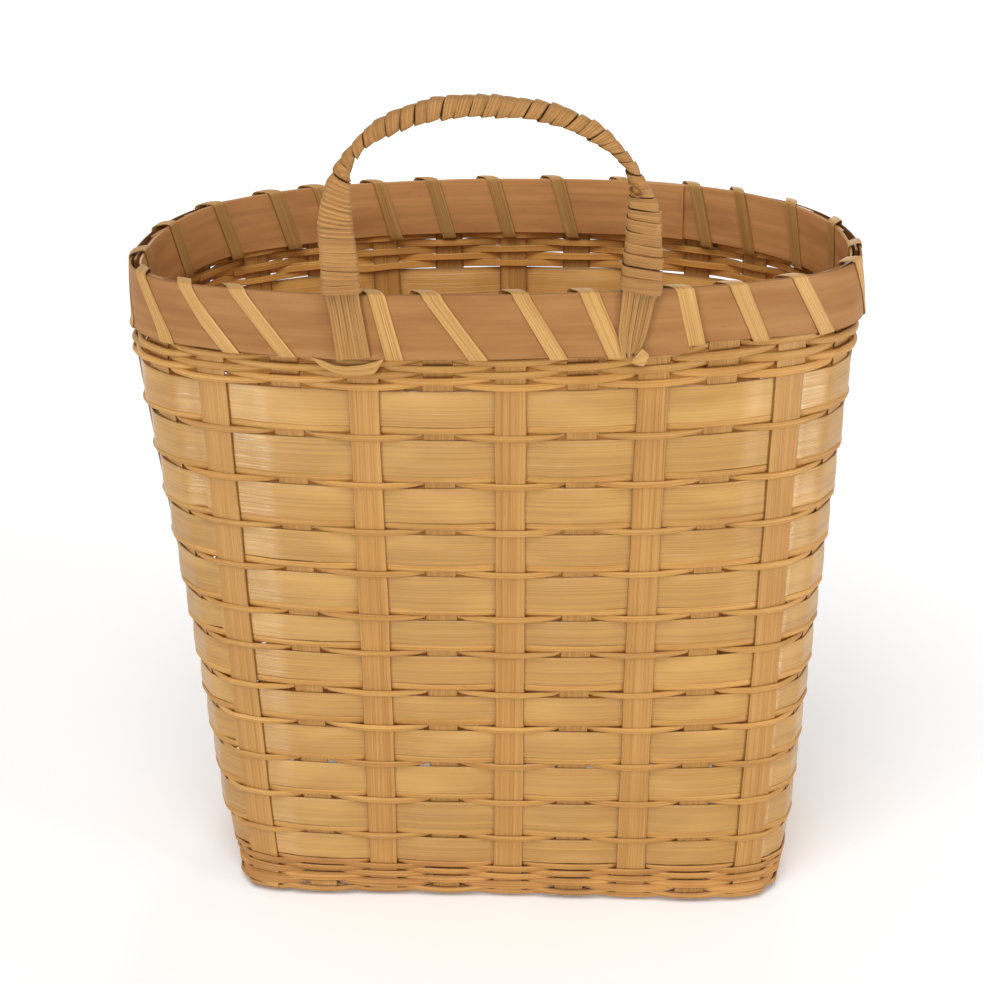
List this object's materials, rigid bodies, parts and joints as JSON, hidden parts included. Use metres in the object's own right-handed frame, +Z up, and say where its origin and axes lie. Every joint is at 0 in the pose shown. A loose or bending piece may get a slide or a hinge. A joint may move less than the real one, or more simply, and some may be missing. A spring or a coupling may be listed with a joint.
{
  "type": "hanging bamboo basket",
  "caption": "D-shaped, tapering wall basket woven of flat bamboo strips and thin reeds, with a lashed rim band and a wrapped arch handle to hang it by.",
  "frame": {"origin": "middle of the bounding box in plan, on the surface the basket stands on", "axes": "+Z up, -Y is the flatter wall side that carries the handle, +X to the right as seen from that side"},
  "size_m": [0.313, 0.1816, 0.3712],
  "materials": {
    "weaver": "smooth pale bamboo strip, satin, fine grain along the strip",
    "stake": "orange-tan bamboo strip, satin, grain along the strip",
    "reed": "thin half-round bamboo reed, dull satin",
    "outer_band": "brown-tan bamboo band with nodes, satin",
    "inner_band": "brown bamboo band, duller than the outer one",
    "binding": "flat fibrous binding strip, matt"
  },
  "bodies": {
    "root": {"cross_stake_1": "stake", "cross_stake_2": "stake", "cross_stake_3": "stake", "cross_stake_4": "stake", "cross_stake_5": "stake", "cross_stake_6": "stake", "cross_stake_7": "stake", "cross_stake_8": "stake", "cross_stake_9": "stake", "side_stake_1": "stake", "side_stake_2": "stake", "side_stake_3": "stake", "side_stake_4": "stake", "weaver_01": "weaver", "weaver_02": "weaver", "weaver_03": "weaver", "weaver_04": "weaver", "weaver_05": "weaver", "weaver_06": "weaver", "weaver_07": "weaver", "weaver_08": "weaver", "weaver_09": "weaver", "weaver_10": "weaver", "weaver_11": "weaver", "weaver_12": "weaver", "locking_reed_01": "reed", "locking_reed_02": "reed", "locking_reed_03": "reed", "locking_reed_04": "reed", "locking_reed_05": "reed", "locking_reed_06": "reed", "locking_reed_07": "reed", "locking_reed_08": "reed", "locking_reed_09": "reed", "locking_reed_10": "reed", "locking_reed_11": "reed", "rim_reed_1": "reed", "rim_reed_2": "reed", "rim_reed_3": "reed", "rim_reed_4": "reed", "rim_reed_5": "reed", "foot_reed_1": "reed", "foot_reed_2": "reed", "foot_reed_3": "reed", "foot_reed_4": "reed", "rim_band_outer": "outer_band", "rim_band_inner": "inner_band", "rim_lashing": "binding", "handle_core": "stake", "leg_wrapping_left": "binding", "arch_wrapping": "binding", "leg_wrapping_right": "binding", "lash_end_left": "binding", "lash_end_right": "binding"}
  },
  "joints": []
}
